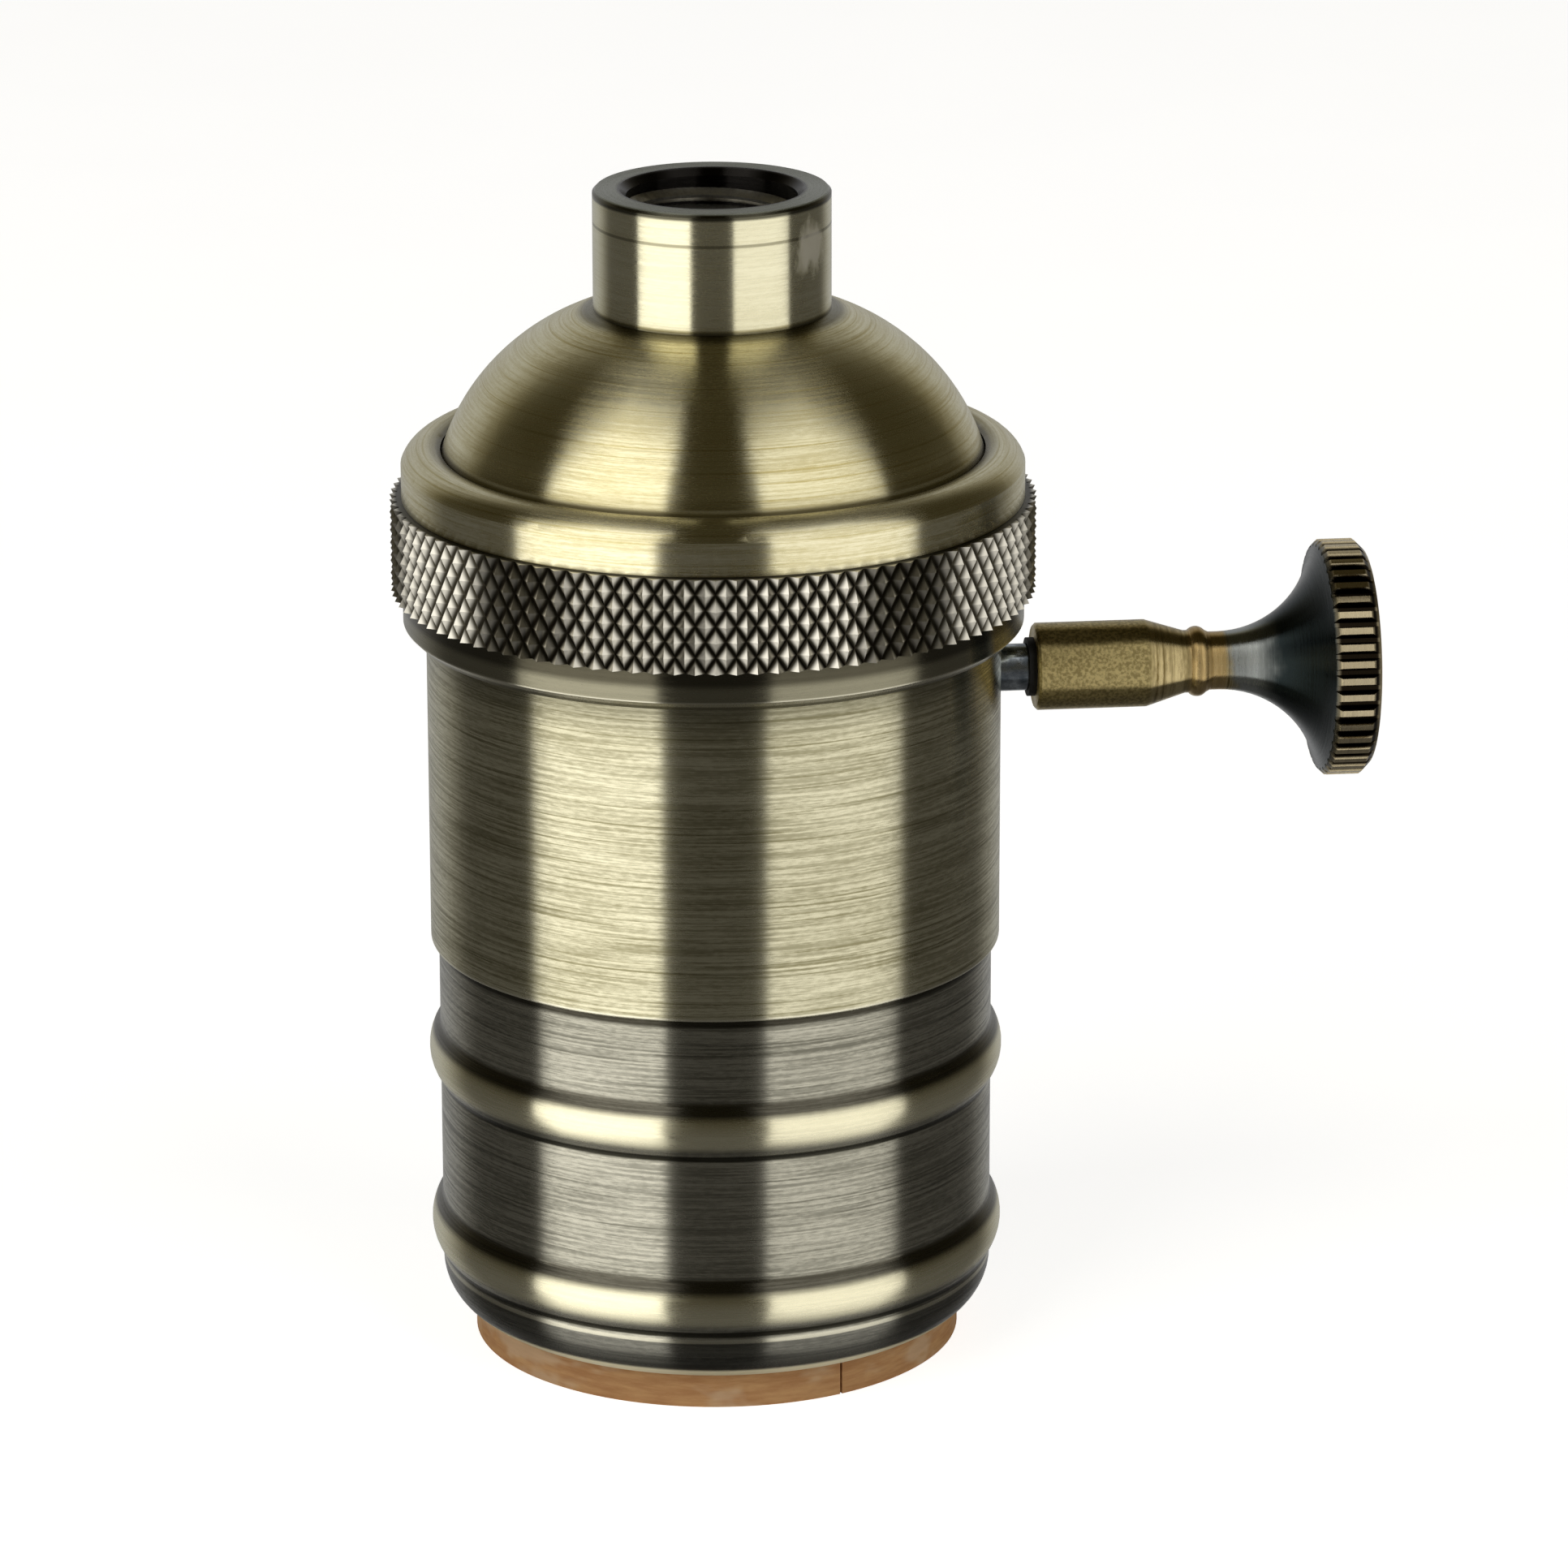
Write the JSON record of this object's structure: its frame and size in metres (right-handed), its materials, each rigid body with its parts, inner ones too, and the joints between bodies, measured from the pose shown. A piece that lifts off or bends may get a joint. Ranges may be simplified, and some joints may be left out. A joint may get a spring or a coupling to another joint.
{
  "type": "lamp holder",
  "caption": "Holder for a screw-in lamp: beaded tube shell, domed cap with a bored neck, diamond-knurled union ring and a side knob that works a rotary switch",
  "frame": {"origin": "on the holder's axis at the board liner's rim, where the lamp goes in", "axes": "+Z along the holder's axis towards the cord inlet; +X along the knob's shaft, outwards"},
  "size_m": [0.0579, 0.038, 0.0702],
  "materials": {
    "cap_brass": "brushed antique brass, olive patina",
    "ring_brass": "brushed antique brass, dark in the knurl's valleys",
    "shell_brass": "brushed antique brass, fine lines round the tube",
    "dark_brass": "dark bronzed brass, smooth",
    "knob_brass": "antique brass with blue-black patina in the flare",
    "liner_board": "plain brown paper board",
    "moulding": "dark brown moulding",
    "contact_brass": "clean brass sheet",
    "screw_brass": "clean turned brass",
    "plated_steel": "nickel-plated, turned",
    "spring_steel": "plain spring steel",
    "fibre": "pressed fibre",
    "dark_fibre": "black fibre"
  },
  "bodies": {
    "holder": {"upper_shell": "shell_brass", "lower_shell": "dark_brass", "paper_liner": "liner_board", "socket_body": "moulding", "switch_cover": "moulding", "screw_shell": "contact_brass", "shell_rivets": "contact_brass", "neutral_strip": "contact_brass", "live_strip": "contact_brass", "contact_strip": "contact_brass", "live_screw": "screw_brass", "neutral_screw": "plated_steel", "cover_screws": "plated_steel", "contact_eyelet": "contact_brass", "detent_leaf": "spring_steel", "shaft_bush": "contact_brass"},
    "knob": {"turn_knob": "knob_brass", "switch_shaft": "plated_steel", "rotor_drum": "fibre", "rotor_contact": "contact_brass", "detent_cam": "fibre", "shaft_clip": "spring_steel", "thrust_washer": "dark_fibre"},
    "plunger": {"centre_contact": "contact_brass", "contact_clip": "spring_steel", "contact_spring": "spring_steel"},
    "cap": {"dome_cap": "cap_brass"},
    "ring": {"knurled_ring": "ring_brass"}
  },
  "joints": [
    {"name": "knob_turn", "type": "hinge", "parent": "holder", "child": "knob", "pos_m": [0, 0, 0.04056], "axis": [1, 0, 0], "continuous": true},
    {"name": "contact_press", "type": "slide", "parent": "holder", "child": "plunger", "axis": [0, 0, 1], "range_m": [0, 0.001], "stiffness_N_per_m": 1000, "springref_m": -0.001, "deforming": ["contact_spring"]},
    {"name": "cap_lift", "type": "slide", "parent": "holder", "child": "cap", "axis": [0, 0, 1], "range_m": [0, 0.004]},
    {"name": "ring_turn", "type": "hinge", "parent": "cap", "child": "ring", "pos_m": [0, 0, 0.049], "axis": [0, 0, 1], "range_deg": [0, 1440]}
  ],
  "couplings": [
    {"joint": "cap_lift", "follows": "ring_turn", "m_per_rad": 0.00015915}
  ]
}
